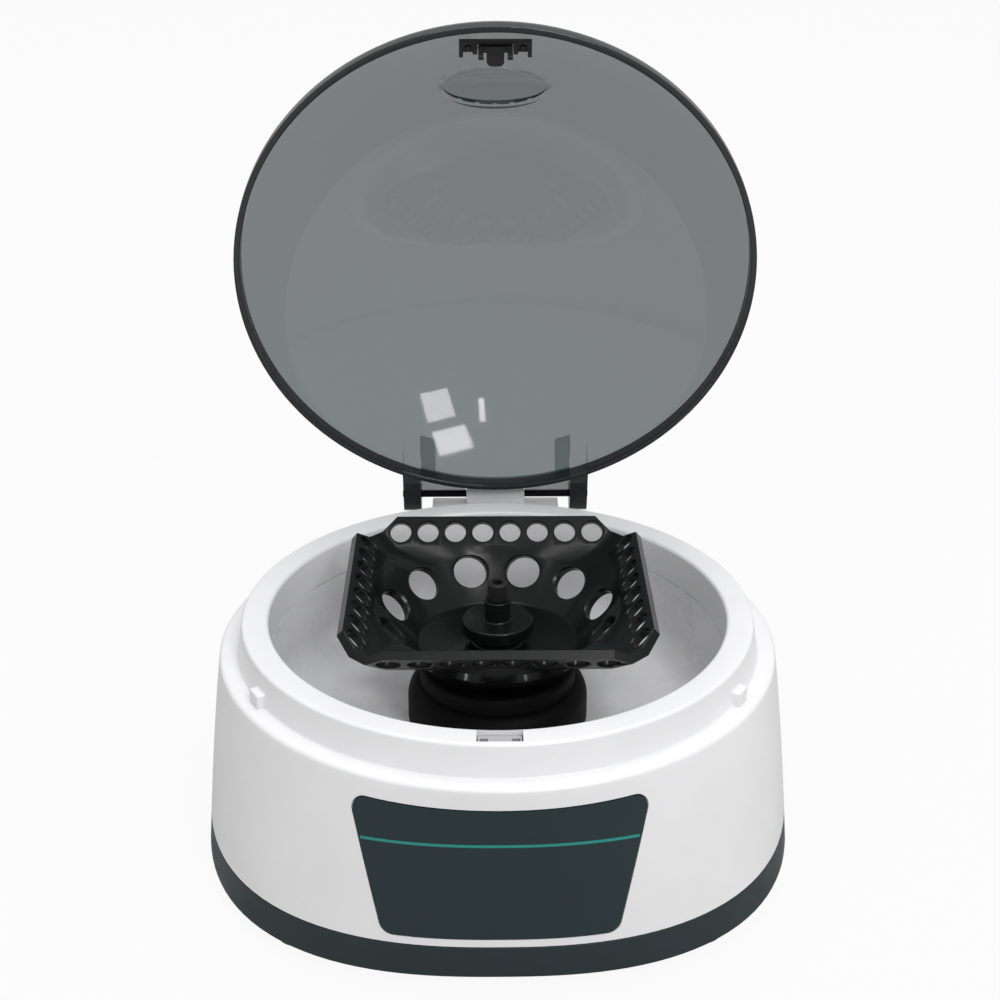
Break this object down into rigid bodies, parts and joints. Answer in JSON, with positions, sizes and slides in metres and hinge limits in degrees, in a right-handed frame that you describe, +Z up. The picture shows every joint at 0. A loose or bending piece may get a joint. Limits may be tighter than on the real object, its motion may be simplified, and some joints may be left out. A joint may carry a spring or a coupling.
{
  "type": "mini centrifuge",
  "caption": "Small bench centrifuge with a round-topped white case, a smoked hinged lid that latches at the front, and a black rotor for microtubes and tube strips.",
  "frame": {"origin": "on the spin axis, at the underside of the base tray, 4 mm above the table the feet stand on", "axes": "+Z up along the spin axis, -Y towards the front panel and the latch, +X to the right of somebody who faces the front"},
  "size_m": [0.1818, 0.2086, 0.2409],
  "materials": {
    "white_moulding": "smooth white moulded plastic",
    "chamber_white": "smooth pale plastic",
    "receiver_grey": "grey moulded plastic",
    "slate_moulding": "fine-grained dark slate plastic",
    "slate_panel": "satin dark slate sheet",
    "smoked_lid": "clear smoked plastic",
    "black_moulding": "glossy black plastic",
    "matt_black": "matt black plastic",
    "black_rubber": "matt black rubber",
    "bright_steel": "bright steel",
    "plated_steel": "zinc-plated steel",
    "motor_iron": "sintered magnet",
    "copper_winding": "enamelled copper windings on iron",
    "aluminium": "extruded aluminium",
    "board_green": "green lacquered board",
    "red_lead": "red insulated leads",
    "blue_lead": "blue insulated leads",
    "black_lead": "black insulated leads"
  },
  "bodies": {
    "base": {"base_tray": "slate_moulding", "bearing_lower": "bright_steel", "bearing_upper": "bright_steel", "board_capacitor": "slate_moulding", "board_screw_1": "bright_steel", "board_screw_2": "bright_steel", "case_screw_1": "bright_steel", "case_screw_2": "bright_steel", "case_screw_3": "bright_steel", "case_screw_4": "bright_steel", "chamber_bowl": "chamber_white", "control_board": "board_green", "driver_chip": "matt_black", "foot_front_left": "black_rubber", "foot_front_right": "black_rubber", "foot_rear_left": "black_rubber", "foot_rear_right": "black_rubber", "front_panel": "slate_panel", "heat_sink": "aluminium", "hinge_block": "white_moulding", "hinge_pin": "bright_steel", "hinge_screw_left": "bright_steel", "hinge_screw_right": "bright_steel", "isolator_screw_1": "bright_steel", "isolator_screw_2": "bright_steel", "isolator_screw_3": "bright_steel", "jack_lead": "red_lead", "jack_nut": "plated_steel", "jack_pin": "bright_steel", "latch_receiver": "receiver_grey", "lid_switch": "matt_black", "motor_boot": "black_rubber", "motor_can": "plated_steel", "motor_end_cap": "plated_steel", "motor_isolator_1": "black_rubber", "motor_isolator_2": "black_rubber", "motor_isolator_3": "black_rubber", "motor_lead": "blue_lead", "motor_mount_plate": "plated_steel", "motor_screw_1": "bright_steel", "motor_screw_2": "bright_steel", "motor_stator": "copper_winding", "power_jack": "matt_black", "rear_panel": "white_moulding", "rocker_frame": "matt_black", "rocker_lead": "black_lead", "switch_lead": "black_lead", "terminal_block": "white_moulding", "upper_housing": "white_moulding"},
    "spindle": {"drive_spindle": "bright_steel", "motor_magnet": "motor_iron"},
    "rotor": {"combi_rotor": "black_moulding"},
    "clamp_disc": {"clamp_disc": "black_moulding"},
    "clamp_screw": {"clamp_screw": "matt_black"},
    "lid": {"lid_dome": "smoked_lid", "latch_frame": "matt_black", "latch_pin": "bright_steel"},
    "latch_hook": {"latch_hook": "matt_black"},
    "plunger": {"switch_plunger": "matt_black"},
    "rocker": {"power_rocker": "black_moulding"}
  },
  "joints": [
    {"name": "lid_hinge", "type": "hinge", "parent": "base", "child": "lid", "pos_m": [0, 0.091, 0.066], "axis": [1, 0, 0], "range_deg": [0, 78]},
    {"name": "latch_swing", "type": "hinge", "parent": "lid", "child": "latch_hook", "pos_m": [0, 0.06077, 0.22744], "axis": [1, 0, 0], "range_deg": [-6, 0], "stiffness_Nm_per_rad": 0.05},
    {"name": "rotor_spin", "type": "hinge", "parent": "base", "child": "spindle", "pos_m": [0, 0, 0.05], "axis": [0, 0, 1], "continuous": true},
    {"name": "rotor_lift", "type": "slide", "parent": "spindle", "child": "rotor", "axis": [0, 0, 1], "range_m": [0, 0.008]},
    {"name": "clamp_lift", "type": "slide", "parent": "rotor", "child": "clamp_disc", "axis": [0, 0, 1], "range_m": [0, 0.0057]},
    {"name": "clamp_turn", "type": "hinge", "parent": "clamp_disc", "child": "clamp_screw", "pos_m": [0, 0, 0.07], "axis": [0, 0, 1], "range_deg": [0, 2932]},
    {"name": "switch_press", "type": "slide", "parent": "base", "child": "plunger", "axis": [0, 0, -1], "range_m": [0, 0.001], "stiffness_N_per_m": 200},
    {"name": "power_rock", "type": "hinge", "parent": "base", "child": "rocker", "pos_m": [0.014, 0.08, 0.0202], "axis": [0, 0, 1], "range_deg": [-16, 0]}
  ],
  "couplings": [
    {"joint": "clamp_turn", "follows": "clamp_lift", "rad_per_m": 8976}
  ]
}
